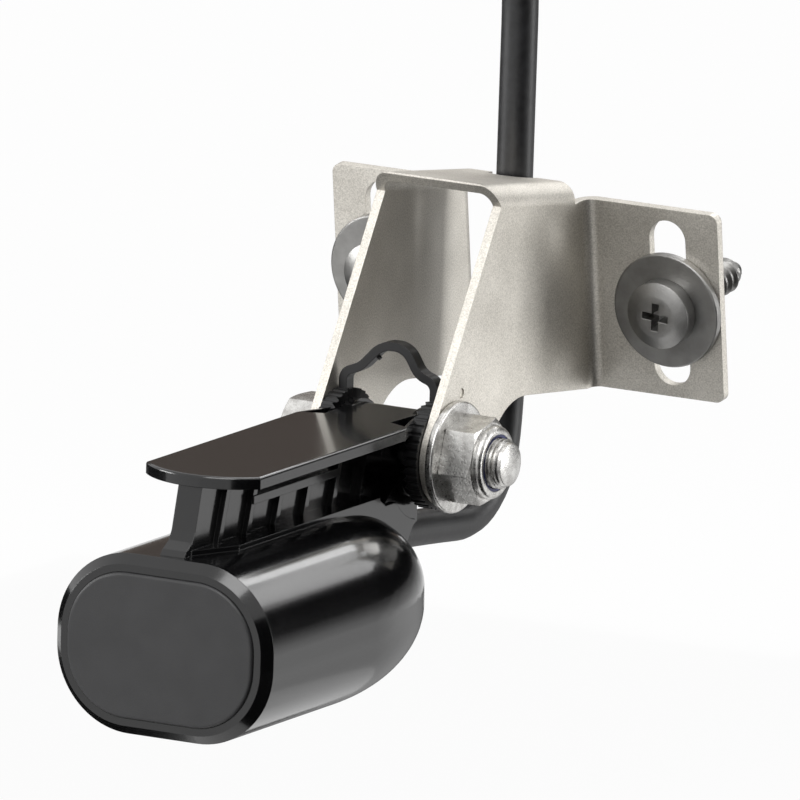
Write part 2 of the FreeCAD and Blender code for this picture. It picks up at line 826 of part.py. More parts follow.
def neck():
    """The block between the knuckle and the nose that the cable goes into, hollowed round the ratchets."""
    floor = -body_top_below
    flange_top = floor + flange_height
    step_low = flange_top - neck_step_depth
    inside = flange_top - 2 * flange_height
    front_top = V(0, -neck_front_top, -neck_front_top_below)
    front_low = V(0, -neck_front_low, -neck_front_low_below)
    block_side = side_plate([
        (-nose_start, flange_top),
        (-neck_step, flange_top),
        (-neck_step, step_low),
        (-neck_step + neck_step_run, inside),
        (-neck_front_top, inside),
        (front_top.y, front_top.z),
        (front_low.y, front_low.z),
        (-neck_front_low - neck_heel, -neck_front_low_below - neck_heel),
        (-nose_start, 2 * floor),
    ], -flange_half_width, flange_half_width)
    middle = (front_top + front_low) * 0.5
    front = [
        e for e in block_side.Edges
        if (e.CenterOfMass - middle - X_AXIS * e.CenterOfMass.x).Length < 0.01
        and abs(e.CenterOfMass.x) > 0.1
    ]
    block_side = block_side.makeChamfer(neck_chamfer, front)
    block_side = block_side.cut(cross_rod(neck_arc_radius, -hood_half_width, hood_half_width))
    filler = side_plate([
        (-neck_step + neck_step_run, inside - neck_step_depth),
        (-knuckle_radius, -knuckle_radius / 2),
        (-knuckle_radius / 2, 0),
        (-neck_front_top, 0),
        (-neck_front_top, -neck_front_top_below - neck_step_depth),
        (-knuckle_radius, -neck_front_low_below + 1),
    ], -knuckle_half_width, knuckle_half_width)
    return [block_side, filler]


def socket_line():
    start, exit_point = cable_points()[:2]
    toward = exit_point - start
    toward.normalize()
    return start, toward


def housing():
    outer = bullet(0, body_aft, nose_length)
    aft_edges = [e for e in outer.Edges if abs(e.CenterOfMass.y + body_aft) < 0.01]
    outer = outer.makeChamfer(rim_chamfer, aft_edges)
    solid = fuse([outer, plate()] + neck() + web() + knuckle())
    hollow = bullet(body_wall, body_aft - cap_depth, nose_length - nose_solid)
    opening = rim_slice(rim_chamfer + rim_width, -body_aft - 1, -body_aft + cap_depth)
    bolt_bore = cross_rod(bolt_radius + knuckle_bore_clearance, -hood_half_width, hood_half_width)
    start, toward = socket_line()
    socket = rod(cable_radius + cable_clearance, start, start + toward * 2 * cable_socket_end)
    passage = rod(core_passage_radius, start + toward * lead_radius, start - toward * nose_solid)
    return solid.cut(hollow).cut(opening).cut(bolt_bore).cut(socket).cut(passage)


def end_cap():
    inset = rim_chamfer + rim_width + cap_clearance
    seat = body_aft - cap_depth + cap_clearance
    solid = rim_slice(inset, -body_aft - cap_proud, -seat)
    face_edges = [e for e in solid.Edges if abs(e.CenterOfMass.y + body_aft + cap_proud) < 0.01]
    return solid.makeFillet(cap_edge, face_edges)


# Inside the body

cup_radius = piezo_radius + cork_thickness + element_clearance
inner_corner = body_corner_fitted - body_wall
past_flat = max(0, cup_radius - (body_half_width - body_corner_fitted))
cup_lift = inner_corner - math.sqrt(inner_corner ** 2 - past_flat ** 2) + element_clearance
piezo_floor = -body_top_below - body_height + body_wall + cup_lift


def piezo_disc():
    start = V(0, -piezo_behind, piezo_floor)
    return rod(piezo_radius, start, start + Z_AXIS * piezo_thickness)


def cork_backing():
    start = V(0, -piezo_behind, piezo_floor)
    top = start + Z_AXIS * (piezo_thickness + cork_thickness)
    cup = rod(piezo_radius + cork_thickness, start, top)
    room = rod(piezo_radius + element_clearance, start - Z_AXIS,
               start + Z_AXIS * (piezo_thickness + element_clearance))
    return cup.cut(room).cut(lead_hole())


def lead_points(side):
    start, toward = socket_line()
    x = side * lead_spread
    origin = start + X_AXIS * x - toward * element_clearance
    plate_top = piezo_floor + piezo_thickness
    reach = piezo_behind - cable_socket_end
    return [
        origin,
        origin - toward * 0.25 * reach,
        V(x, -piezo_behind + 0.45 * reach, start.z - 0.15 * reach),
        V(2 * x, -piezo_behind, plate_top + 0.25 * reach),
        V(2 * x, -piezo_behind, plate_top + lead_end_gap),
    ]


def lead_wires():
    return Part.makeCompound([tube(lead_points(side), lead_radius, "lead wire") for side in (-1, 1)])


def lead_hole():
    plate_top = piezo_floor + piezo_thickness
    x = 2 * lead_spread
    holes = []
    for side in (-x, x):
        place = V(side, -piezo_behind, plate_top - 1)
        holes.append(rod(lead_radius + element_clearance, place, place + Z_AXIS * (cork_thickness + 2)))
    return Part.makeCompound(holes)


def temperature_sensor():
    start = V(0, -sensor_behind, -body_top_below - body_height / 2)
    bead = rod(sensor_radius, start, start + Y_AXIS * sensor_length)
    return bead.makeFillet(sensor_radius * 0.8, [e for e in bead.Edges if e.CenterOfMass.y > start.y + 1
                                                 and len(e.Vertexes) == 1])


def potting():
    solid = bullet(body_wall + element_clearance, body_aft - cap_depth - element_clearance,
                   nose_length - nose_solid - element_clearance)
    cup = rod(cup_radius, V(0, -piezo_behind, piezo_floor - element_clearance),
              V(0, -piezo_behind, piezo_floor + piezo_thickness + cork_thickness + element_clearance))
    solid = solid.cut(cup)
    start = V(0, -sensor_behind - element_clearance, -body_top_below - body_height / 2)
    solid = solid.cut(rod(sensor_radius + element_clearance, start,
                          start + Y_AXIS * (sensor_length + 2 * element_clearance)))
    for side in (-1, 1):
        solid = solid.cut(tube(lead_points(side), lead_radius + element_clearance, "lead room"))
    return solid


# Cable, coil and plug

def cable_points():
    """The cable's route: out of the neck, along under the bracket, up behind the transom, to the coil."""
    rise = pivot_behind - cable_rise_behind
    low = -cable_socket_below - cable_sag
    run = rise - cable_bend - cable_exit_ahead
    exit_sag = cable_sag * 0.16
    return [
        V(0, -cable_socket_end, -cable_socket_below),
        V(0, cable_exit_ahead, -cable_socket_below - exit_sag),
        V(0, cable_exit_ahead + run * 0.52, low + cable_sag * 0.44),
        V(0, rise - cable_bend, low),
        V(0, rise - cable_bend * 0.27, low + cable_bend * 0.52),
        V(0, rise - cable_rise_lean, low + cable_bend * 1.65),
        V(0, rise - cable_rise_lean / 2, low + cable_bend * 3.7),
        V(0, rise, cable_leaves_view),
        V(0, rise - coil_entry_behind, coil_above - coil_turn_radius * 2 / 3),
    ]


coil_centre = V(coil_turn_radius, pivot_behind - coil_behind, coil_above)


def coil_form(radius):
    return Part.makeTorus(coil_turn_radius, radius, coil_centre, Y_AXIS)


def cable():
    solid = tube(cable_points(), cable_radius, "cable")
    return solid.cut(coil_form(coil_bundle_radius))


def tail_points():
    """The tail's route: out of the coil's aft side and along it to the plug."""
    behind = coil_bundle_radius + tail_gap + cable_radius
    top = coil_turn_radius - 0.2 * tail_step
    return [
        coil_centre + V(-2.25 * tail_step, -0.4 * behind, top - 0.97 * tail_step),
        coil_centre + V(-1.5 * tail_step, -0.75 * behind, top - 0.43 * tail_step),
        coil_centre + V(-0.54 * tail_step, -0.955 * behind, top - 0.1 * tail_step),
        coil_centre + V(0.46 * tail_step, -behind, top),
    ]


def cable_tail():
    solid = tube(tail_points(), cable_radius, "cable tail").cut(coil_form(coil_bundle_radius))
    return solid


def coil_ties():
    ties = []
    for turn_deg in (-20.0, 240.0, 95.0):
        angle = math.radians(turn_deg)
        spoke = V(math.cos(angle), 0, math.sin(angle))
        along = V(-math.sin(angle), 0, math.cos(angle))
        middle = coil_centre + spoke * coil_turn_radius
        inner = coil_bundle_radius + tie_clearance
        start = middle - along * (tie_width / 2)
        end = middle + along * (tie_width / 2)
        ties.append(rod(inner + tie_thickness, start, end).cut(rod(inner, start - along, end + along)))
    return Part.makeCompound(ties)


def plug_axis():
    points = tail_points()
    along = points[-1] - points[-2]
    along.normalize()
    return points[-1], along


def at_plug(offset):
    start, along = plug_axis()
    return start + along * offset


def plug_strain_relief():
    start, along = plug_axis()
    cone = Part.makeCone(cable_radius + relief_wall, relief_radius, relief_length + relief_inside,
                         at_plug(-relief_inside), along)
    return cone.cut(rod(cable_radius + cable_clearance, at_plug(-relief_inside - 1), start))


def plug_body():
    start = at_plug(relief_length)
    end = at_plug(relief_length + plug_length)
    solid = rod(plug_radius, start, end)
    rims = [e for e in solid.Edges if len(e.Vertexes) == 1 and (e.CenterOfMass - start).Length < 0.1]
    solid = solid.makeFillet(plug_edge, rims)
    mouth_floor = relief_length + plug_length - pin_length - plug_floor
    mouth = rod(plug_radius - plug_wall, at_plug(mouth_floor), end)
    return solid.cut(mouth)


def plug_collar():
    first = relief_length + plug_length - collar_overlap
    last = first + collar_length
    ring = rod(collar_radius, at_plug(first), at_plug(last))
    rims = [e for e in ring.Edges if len(e.Vertexes) == 1]
    ring = ring.makeFillet(collar_edge, rims)
    ring = ring.cut(rod(plug_radius + collar_clearance, at_plug(first - 1), at_plug(last + 1)))
    start, along = plug_axis()
    side = along.cross(Y_AXIS)
    side.normalize()
    up = along.cross(side)
    grips = []
    for i in range(collar_grip_count):
        angle = 2 * math.pi * i / collar_grip_count
        out = (side * math.cos(angle) + up * math.sin(angle)) * (collar_radius + collar_clearance)
        groove_start = at_plug(first + collar_grip_margin) + out
        groove_end = at_plug(last - collar_grip_margin) + out
        grips.append(rod(collar_grip_radius, groove_start, groove_end))
    return ring.cut(Part.makeCompound(grips))


def plug_pins():
    start, along = plug_axis()
    side = along.cross(Y_AXIS)
    side.normalize()
    up = along.cross(side)
    root = relief_length + plug_length - pin_length - plug_floor
    pins = []
    for i in range(pin_count):
        angle = 2 * math.pi * i / (pin_count + 1)
        out = (side * math.cos(angle) + up * math.sin(angle)) * pin_circle
        pins.append(rod(pin_radius, at_plug(root) + out, at_plug(root + pin_length) + out))
    return Part.makeCompound(pins)


# Every node, moved from the pivot to the part's own origin

nodes = {
    "bracket": bracket(),
    "pivot_bolt": pivot_bolt(),
    "pivot_washer": pivot_washer(),
    "lock_nut": lock_nut(),
    "nut_insert": nut_insert(),
    "mounting_screws": mounting_screws(),
    "screw_washers": screw_washers(),
    "ratchet_pair": ratchet_pair(),
    "housing": housing(),
    "end_cap": end_cap(),
    "potting": potting(),
    "piezo_disc": piezo_disc(),
    "cork_backing": cork_backing(),
    "temperature_sensor": temperature_sensor(),
    "lead_wires": lead_wires(),
    "cable": cable(),
    "cable_coil": coil_form(coil_bundle_radius),
    "cable_tail": cable_tail(),
    "coil_ties": coil_ties(),
    "plug_strain_relief": plug_strain_relief(),
    "plug_body": plug_body(),
    "plug_collar": plug_collar(),
    "plug_pins": plug_pins(),
}

os.makedirs("parts", exist_ok=True)
for name, shape in nodes.items():
    shape.translate(V(0, -pivot_behind, -pivot_below))
    shape.exportStep("parts/" + name + ".step")
    box = shape.BoundBox
    print(name, "solids", len(shape.Solids), "valid", shape.isValid(), "volume", round(shape.Volume, 1),
          "box", [round(c, 1) for c in (box.XMin, box.YMin, box.ZMin, box.XMax, box.YMax, box.ZMax)])
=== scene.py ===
# %% [markdown]
# # A sonar transducer for a boat's transom
#
# A black bullet-shaped body hangs from an arm that tilts on a bolt between the walls of a folded
# stainless bracket. The bracket's two ears are screwed to the boat. The rigid parts come from a
# finished CAD model. Here they get their camera, their finishes, and the things that CAD leaves
# plain: the cable, the threads, the ties and the plug's boot.

import json
import math

import bpy
from mathutils import Matrix, Vector

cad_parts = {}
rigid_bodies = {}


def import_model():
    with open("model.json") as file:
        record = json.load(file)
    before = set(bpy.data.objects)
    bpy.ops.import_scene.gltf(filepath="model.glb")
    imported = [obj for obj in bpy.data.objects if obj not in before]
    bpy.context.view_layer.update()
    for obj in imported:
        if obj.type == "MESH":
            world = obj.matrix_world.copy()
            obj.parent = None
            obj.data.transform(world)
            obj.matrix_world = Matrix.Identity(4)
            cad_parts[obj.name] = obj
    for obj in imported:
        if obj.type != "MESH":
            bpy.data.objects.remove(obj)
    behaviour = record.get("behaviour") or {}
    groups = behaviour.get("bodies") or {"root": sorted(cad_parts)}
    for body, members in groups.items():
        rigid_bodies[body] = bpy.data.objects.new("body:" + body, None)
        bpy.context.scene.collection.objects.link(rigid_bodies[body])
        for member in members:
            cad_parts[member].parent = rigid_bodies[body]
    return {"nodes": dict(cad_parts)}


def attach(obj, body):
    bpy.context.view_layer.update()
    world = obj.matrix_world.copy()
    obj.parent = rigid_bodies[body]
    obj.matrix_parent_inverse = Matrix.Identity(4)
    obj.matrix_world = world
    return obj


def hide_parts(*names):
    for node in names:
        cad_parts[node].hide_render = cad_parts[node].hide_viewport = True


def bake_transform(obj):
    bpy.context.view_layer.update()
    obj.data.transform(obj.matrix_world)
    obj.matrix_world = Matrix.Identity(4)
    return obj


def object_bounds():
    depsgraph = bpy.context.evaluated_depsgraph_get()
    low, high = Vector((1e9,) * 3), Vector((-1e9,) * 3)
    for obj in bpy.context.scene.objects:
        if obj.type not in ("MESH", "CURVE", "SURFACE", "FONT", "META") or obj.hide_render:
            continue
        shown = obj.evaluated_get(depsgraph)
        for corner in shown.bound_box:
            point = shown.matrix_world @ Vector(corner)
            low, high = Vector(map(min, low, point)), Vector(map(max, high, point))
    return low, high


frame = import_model()
cad_box = [list(corner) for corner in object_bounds()]
nodes = frame["nodes"]
print(len(nodes), "parts, box", cad_box)

# %% [markdown]
# ## Camera
#
# The picture was taken with a very long lens, so parallel edges stay nearly parallel. The camera is
# placed from the direction it looks in, the scale at the bolt, and the pixel where the bolt's
# middle lands in a picture of 800 by 800 pixels. A roll of a degree and a half levels the picture
# as it is levelled there.

# %% Camera
mm = 0.001
pivot = Vector((0.0, -43.85 * mm, -19.25 * mm))
azimuth, elevation, roll = (math.radians(a) for a in (29.334, 11.806, 1.571))
picture_px = 800
px_per_m = 6454.9
distance = 5.163
pivot_px = (389.896, 447.645)
sensor_mm = 36

sideways, ahead = math.sin(azimuth), math.cos(azimuth)
back = Vector((sideways * math.cos(elevation), -ahead * math.cos(elevation), math.sin(elevation)))
level_right = Vector((ahead, sideways, 0))
level_up = back.cross(level_right)
right = level_right * math.cos(roll) + level_up * math.sin(roll)
up = level_up * math.cos(roll) - level_right * math.sin(roll)
off_right = (picture_px / 2 - pivot_px[0]) / px_per_m
off_up = (pivot_px[1] - picture_px / 2) / px_per_m
place = pivot + back * distance + right * off_right + up * off_up

bpy.ops.object.camera_add()
camera = bpy.context.object
turn = Matrix((right, up, back)).transposed().to_4x4()
turn.translation = place
camera.matrix_world = turn
camera.data.sensor_width = sensor_mm
camera.data.lens = px_per_m * distance / picture_px * sensor_mm
camera.data.clip_start = 0.5
camera.data.clip_end = 40
bpy.context.scene.camera = camera
print("lens", round(camera.data.lens), "mm")

# %% [markdown]
# ## Working by hand in code
#
# Every new piece starts as a rod or a block at its size and place, and is shaped in edit mode. An
# operator acts on all that is selected, so a helper first clears the selection and others pick
# faces or edges by where they are, which leaves edit mode on until the work on them is done.

# %% Rods, blocks and picking
def clear_selection():
    bpy.ops.object.select_all(action="DESELECT")


def only(piece):
    """Select that piece alone and make it the active one."""
    clear_selection()
    piece.select_set(True)
    bpy.context.view_layer.objects.active = piece


def apply_place():
    """Move the active object's place, turn and scale into its mesh."""
    bpy.ops.object.transform_apply(location=True, rotation=True, scale=True)
    return bpy.context.object


def rod(radius, start, end, sides, ends="NGON"):
    """A rod along Z from start to end."""
    clear_selection()
    middle = (0, 0, (start + end) / 2)
    bpy.ops.mesh.primitive_cylinder_add(
        vertices=sides, radius=radius, depth=end - start, location=middle, end_fill_type=ends)
    return apply_place()


def block(size, middle):
    """A block of that size round its middle."""
    clear_selection()
    bpy.ops.mesh.primitive_cube_add(size=1, location=middle)
    bpy.context.object.scale = size
    return apply_place()


def unpick(piece, kind="FACE"):
    """Make one piece active, with nothing selected in its mesh."""
    only(piece)
    bpy.ops.object.mode_set(mode="EDIT")
    bpy.ops.mesh.select_mode(type=kind)
    bpy.ops.mesh.select_all(action="DESELECT")
    bpy.ops.object.mode_set(mode="OBJECT")


def pick_all(piece):
    unpick(piece)
    bpy.ops.object.mode_set(mode="EDIT")
    bpy.ops.mesh.select_all(action="SELECT")


def pick_faces(piece, test):
    """Select the faces whose middle and normal pass the test."""
    unpick(piece)
    for face in piece.data.polygons:
        face.select = test(face.center, face.normal)
    bpy.ops.object.mode_set(mode="EDIT")


def pick_edges(piece, test):
    """Select the edges both of whose ends pass the test."""
    unpick(piece, "EDGE")
    points = piece.data.vertices
    for e in piece.data.edges:
        e.select = all(test(points[i].co) for i in e.vertices)
    bpy.ops.object.mode_set(mode="EDIT")


def done():
    """Leave edit mode."""
    bpy.ops.object.mode_set(mode="OBJECT")


print("helpers for picking ready")

# %% [markdown]
# The other helpers finish a piece. One rounds its sharp edges with a bevel, because no real edge
# is quite sharp, one cuts it with a tool, and one closes it up: it merges doubles, points the
# faces outwards and leaves the object at the origin with its place in its mesh. A model that is
# needed more than once is copied with its own mesh.

# %% Finishing a piece
def soften(piece, width, angle_deg=30, segments=2):
    """Round the edges that turn by more than the angle."""
    only(piece)
    bevel = piece.modifiers.new("soften", "BEVEL")
    bevel.width = width
    bevel.segments = segments
    bevel.limit_method = "ANGLE"
    bevel.angle_limit = math.radians(angle_deg)
    bpy.ops.object.modifier_apply(modifier=bevel.name)


def cut_away(piece, tool, operation="DIFFERENCE"):
    """A boolean with a tool that is then thrown away."""
    only(piece)
    cut = piece.modifiers.new("cut", "BOOLEAN")
    cut.operation = operation
    cut.solver = "EXACT"
    cut.object = tool
    bpy.ops.object.modifier_apply(modifier=cut.name)
    bpy.data.objects.remove(tool)


def join(pieces, name):
    """Make several pieces one, under the first one's new name."""
    only(pieces[0])
    for piece in pieces:
        piece.select_set(True)
    bpy.ops.object.join()
    pieces[0].name = name
    return pieces[0]


def close_up(piece, angle_deg=35):
    """Doubles merged, faces outwards, edges over the angle kept sharp, place in the mesh."""
    pick_all(piece)
    bpy.ops.mesh.remove_doubles(threshold=0.004 * mm)
    bpy.ops.mesh.normals_make_consistent(inside=False)
    done()
    apply_place()
    bpy.ops.object.shade_smooth_by_angle(angle=math.radians(angle_deg))
    return piece


def put(piece, matrix):
    """Move a finished piece by moving its mesh."""
    piece.data.transform(matrix)
    return piece


def copy_of(model, name):
    """A copy with a mesh of its own."""
    piece = bpy.data.objects.new(name, model.data.copy())
    bpy.context.scene.collection.objects.link(piece)
    return piece


def turned_to(x_way, y_way, z_way):
    """The turn that points a piece's own X, Y and Z those ways."""
    return Matrix((x_way, y_way, z_way)).transposed().to_4x4()


print("helpers for finishing ready")

# %% [markdown]
# ## Cable
#
# The real cable is a round one, 5.8 mm thick with a satin black jacket. It leaves the neck of the
# arm, runs forward under the bolt, turns up behind the transom and goes on to the instrument. What
# the picture doesn't show is wound up as it is sold: 19 turns lying side by side in a round bundle.
# One smooth NURBS curve carries the whole length, because a real cable is one piece. Its points
# are the CAD route's own, and the turns are worked out in a loop.

# %% The cable's route
route = [(0, -52.85, -32.3), (0, -41.85, -32.79), (0, -29.21, -34.01), (0, -17.55, -35.35),
         (0, -9.3, -29.47), (0, -7.25, -16.71), (0, -6.75, 6.46), (0, -6.43, 33.5),
         (0, -6.25, 48.75), (0.3, -8.6, 64), (-0.2, -10.2, 75)]
coil_centre = Vector((40.5, -16.35, 111.75))
coil_radius = 40.5
cable_thick = 5.8
row = cable_thick * math.cos(math.radians(30))
layers = [(2 * row, (1, 0, -1)), (row, (-1.5, -0.5, 0.5, 1.5)), (0, (2, 1, 0, -1, -2)),
          (-row, (-1.5, -0.5, 0.5, 1.5)), (-2 * row, (1, 0, -1))]
lanes = [(out, across * cable_thick) for out, steps in layers for across in steps]


def on_coil(angle_deg, out, across):
    """A point of the coil, from its angle and its place in the bundle."""
    angle = math.radians(angle_deg)
    reach = coil_radius + out
    return coil_centre + Vector((reach * math.cos(angle), across, reach * math.sin(angle)))


# Each turn keeps to its lane, and changes over to the next one in the last part of the round.
points_a_turn = 24
first_angle = 215
change_starts, change_takes = 0.74, 0.2
for turn_number, lane in enumerate(lanes):
    following = lanes[min(turn_number + 1, len(lanes) - 1)]
    for i in range(points_a_turn):
        share = i / points_a_turn
        shift = min(1, max(0, (share - change_starts) / change_takes))
        shift = shift * shift * (3 - 2 * shift)
        out = lane[0] + (following[0] - lane[0]) * shift
        across = lane[1] + (following[1] - lane[1]) * shift
        route.append(on_coil(first_angle - 360 * share, out, across))

# The tail leaves the last lane along the coil's inside, and turns out of it to the plug.
tail = ((215, -10, -5.8), (197, -10.3, -6.2), (180, -11, -7.4), (164, -11.4, -10.2),
        (149, -10.8, -14), (135, -9, -17.4), (121, -6.2, -20))
for angle, out, across in tail:
    route.append(on_coil(angle, out, across))
route += [(34.02, -37.93, 148.65), (46.02, -38.95, 149.85)]
print(len(route), "points for", len(lanes), "turns")

# %% [markdown]
# The curve is made a mesh.

# %% Make the cable
cable_curve = bpy.data.curves.new("cable_line", "CURVE")
cable_curve.dimensions = "3D"
spline = cable_curve.splines.new("NURBS")
spline.points.add(len(route) - 1)
for point, spot in zip(spline.points, route):
    point.co = (*(Vector(spot) * mm), 1)
spline.order_u = 3
spline.use_endpoint_u = True
spline.resolution_u = 6
cable_line = bpy.data.objects.new("cable_line", cable_curve)
bare = bpy.data.meshes.new_from_object(cable_line)
cable_path = [v.co.copy() for v in bare.vertices]
cable_curve.bevel_depth = cable_thick / 2 * mm
cable_curve.bevel_resolution = 6
cable_curve.use_fill_caps = True
cable = bpy.data.objects.new("cable_run", bpy.data.meshes.new_from_object(cable_line))
bpy.context.scene.collection.objects.link(cable)
bpy.data.objects.remove(cable_line)
pick_all(cable)
bpy.ops.mesh.remove_doubles(threshold=0.01 * mm)
done()
bpy.ops.object.shade_smooth_by_angle(angle=math.radians(50))
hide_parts("cable", "cable_coil", "cable_tail")
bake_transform(cable)

# %% [markdown]
# ## Threads
#
# A rolled thread is one ridge that climbs round a core. The ridge is a small triangle, turned into
# a helix by the Screw modifier, and the core is a rod at the thread's root. They are joined as
# overlapping closed shells, which is how they look from outside and far easier than welding them.

# %% A helical ridge along Z
def ridge(root, crest, pitch, start, end):
    """A closed ridge round the Z axis, from start to end, that tapers off at both ends."""
    turns = max(1, round((end - start) / pitch))
    foot_half = pitch * 0.42
    foot_sunk = pitch * 0.1
    clear_selection()
    bpy.ops.mesh.primitive_circle_add(vertices=3, radius=1, fill_type="NGON", location=(0, 0, 0))
    piece = bpy.context.object
    corners = [(root - foot_sunk, -foot_half), (root - foot_sunk, foot_half), (crest, 0)]
    for point, (out, along) in zip(piece.data.vertices, corners):
        point.co = (out, 0, start + along)
    pick_all(piece)
    bpy.ops.mesh.delete(type="ONLY_FACE")
    done()
    screw = piece.modifiers.new("helix", "SCREW")
    screw.axis = "Z"
    screw.angle = 2 * math.pi
    screw.screw_offset = pitch
    screw.iterations = turns
    screw.steps = screw.render_steps = 40
    bpy.ops.object.modifier_apply(modifier=screw.name)

    # Close both ends of the helix, which lie on the XZ plane.
    near = 0.002 * mm
    for level in (start, start + turns * pitch):
        pick_edges(piece, lambda p: p.x > 0 and abs(p.y) < near and abs(p.z - level) < foot_half + near)
        bpy.ops.mesh.edge_face_add()
        done()

    # The crest rises from the root over a third of a turn, and sinks again at the far end.
    for point in piece.data.vertices:
        reach = math.hypot(point.co.x, point.co.y)
        if reach > (root + crest) / 2:
            turned = (point.co.z - start) / pitch
            full = min(1, 3 * turned, 3 * (turns - turned))
            fit = (root + (crest - root) * full) / reach
            point.co = (point.co.x * fit, point.co.y * fit, point.co.z)
    return piece


print("thread helper ready")

# %% [markdown]
# ## Pivot bolt
#
# A hex head bolt crosses the bracket from the left, and its chamfered end stands out of the nut. A
# fine rolled thread shows as three bright ridges between the nut and the end. The whole bolt is
# modelled along Z and then turned onto the pivot's axis.

# %% The bolt's shank and thread
hood_side = 11.1 * mm
bolt_end = 21.55 * mm
bolt_root = 3.4 * mm
bolt_crest = 3.95 * mm
bolt_pitch = 0.75 * mm
thread_starts = 12.6 * mm
thread_short_of_end = 0.5 * mm
end_chamfer = 0.3 * mm

core = rod(bolt_root, -hood_side, bolt_end, 72)
pick_edges(core, lambda p: p.z > bolt_end - 0.01 * mm)
bpy.ops.mesh.bevel(offset=end_chamfer, segments=2)
done()
thread = ridge(bolt_root, bolt_crest, bolt_pitch, thread_starts, bolt_end - thread_short_of_end)
print("thread", len(thread.data.polygons), "faces")

# %% [markdown]
# The head is forged from a round blank, which leaves a chamfer round its corners and a shallow
# dish in its face. It is made the same way: the blank gets its chamfer and dish by insets, and a
# softened hexagonal prism then cuts its six sides.

# %% The bolt's head
head_height = 5.6 * mm
head_flats = 12.7 * mm
blank_radius = 8 * mm
face_radius = 6.2 * mm
chamfer_depth = 1 * mm
dish_edge = 2.6 * mm
dish_slope = 1.4 * mm
dish_depth = 0.5 * mm
face = -hood_side - head_height

head = rod(blank_radius, face, -hood_side, 96)
head_steps = [(0, chamfer_depth), (blank_radius - face_radius, -chamfer_depth), (dish_edge, 0),
              (dish_slope, dish_depth)]
for inward, deeper in head_steps:
    pick_faces(head, lambda c, n: n.z < -0.99 and c.z < -hood_side - 1 * mm)
    if inward:
        bpy.ops.mesh.inset(thickness=inward)
    bpy.ops.transform.translate(value=(0, 0, deeper))
    done()
prism = rod(head_flats / math.sqrt(3), face - 2 * head_height, face + 2 * head_height, 6)
soften(prism, 0.25 * mm, 50, 3)
cut_away(head, prism, "INTERSECT")

bolt = close_up(join([core, thread, head], "bolt"))
put(bolt, Matrix.Translation(pivot) @ Matrix.Rotation(math.radians(90), 4, "Y"))
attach(bolt, "bracket")
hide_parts("pivot_bolt")
print("bolt", len(bolt.data.polygons), "faces")

# %% [markdown]
# ## Mounting screws
#
# Two pan head screws with a cross recess and a coarse thread stand in the ears' slots. One is
# modelled along Z: the head from a short rod, its dome by insets that follow a circle, the cross
# by a boolean with two crossed wedges. It is then copied to each slot with its own turn.

# %% The screw's head and its dome
head_radius = 5.35 * mm
side_height = 2.5 * mm
under_chamfer = 0.2 * mm
dome_height = 0.9 * mm
dome_flat = 3.2 * mm

screw_head = rod(head_radius, -side_height, 0, 96)
pick_edges(screw_head, lambda p: p.z > -0.01 * mm)
bpy.ops.mesh.bevel(offset=under_chamfer, segments=2)
done()

# The dome is part of a sphere from the head's rim up to its flat top.
dome_centre = (head_radius ** 2 - dome_flat ** 2 - dome_height ** 2) / (2 * dome_height)
dome_radius = math.hypot(dome_centre, head_radius)
rings = 7
before_radius, before_height = head_radius, 0.0
for i in range(1, rings + 1):
    ring_radius = head_radius + (dome_flat - head_radius) * i / rings
    ring_height = math.sqrt(dome_radius ** 2 - ring_radius ** 2) - dome_centre
    pick_faces(screw_head, lambda c, n: n.z < -0.999)
    bpy.ops.mesh.inset(thickness=before_radius - ring_radius)
    bpy.ops.transform.translate(value=(0, 0, before_height - ring_height))
    done()
    before_radius, before_height = ring_radius, ring_height
print("screw head", len(screw_head.data.polygons), "faces")

# %% The cross recess
recess_size = (5.3 * mm, 1.3 * mm, 3.4 * mm)
recess_floor_share = (0.55, 0.7, 1)
recess_middle = (0, 0, -side_height - 0.3 * mm)


def wedge(turn_deg):
    """One bar of the cross recess, narrower at its floor."""
    bar = block(recess_size, recess_middle)
    pick_faces(bar, lambda c, n: n.z > 0.9)
    bpy.ops.transform.resize(value=recess_floor_share)
    done()
    return put(bar, Matrix.Rotation(math.radians(turn_deg), 4, "Z"))


cut_away(screw_head, wedge(0))
cut_away(screw_head, wedge(90))
print("with its recess", len(screw_head.data.polygons), "faces")

# %% [markdown]
# The shank is a rod at the thread's root with a blunt point. The helper that made the bolt's
# ridge winds the thread on it too, coarser, and leaves a plain neck under the head.

# %% The screw's shank, point and thread
screw_length = 22.2 * mm
screw_root = 2.05 * mm
screw_crest = 2.75 * mm
screw_pitch = 1.8 * mm
neck_length = 3.6 * mm
thread_past_neck = 0.6 * mm
thread_short_of_tip = 1.4 * mm
point_length = 1.6 * mm
point_share = (0.62, 0.62, 1)
shank_in_head = 0.8 * mm

screw_core = rod(screw_root, -shank_in_head, screw_length - point_length, 48)
pick_faces(screw_core, lambda c, n: n.z > 0.99)
bpy.ops.mesh.extrude_region_move(TRANSFORM_OT_translate={"value": (0, 0, point_length)})
bpy.ops.transform.resize(value=point_share)
done()
thread_from, thread_to = neck_length + thread_past_neck, screw_length - thread_short_of_tip
screw_thread = ridge(screw_root, screw_crest, screw_pitch, thread_from, thread_to)
screw_model = close_up(join([screw_head, screw_core, screw_thread], "screw_model"))
print("screw", len(screw_model.data.polygons), "faces")

# %% [markdown]
# The ears lean 7.8 degrees, so the screws do too. Each copy stands on its washer and goes forward
# through the slot, a little below the slot's middle. The two get different turns, because nobody
# lines up the crosses of two screws.

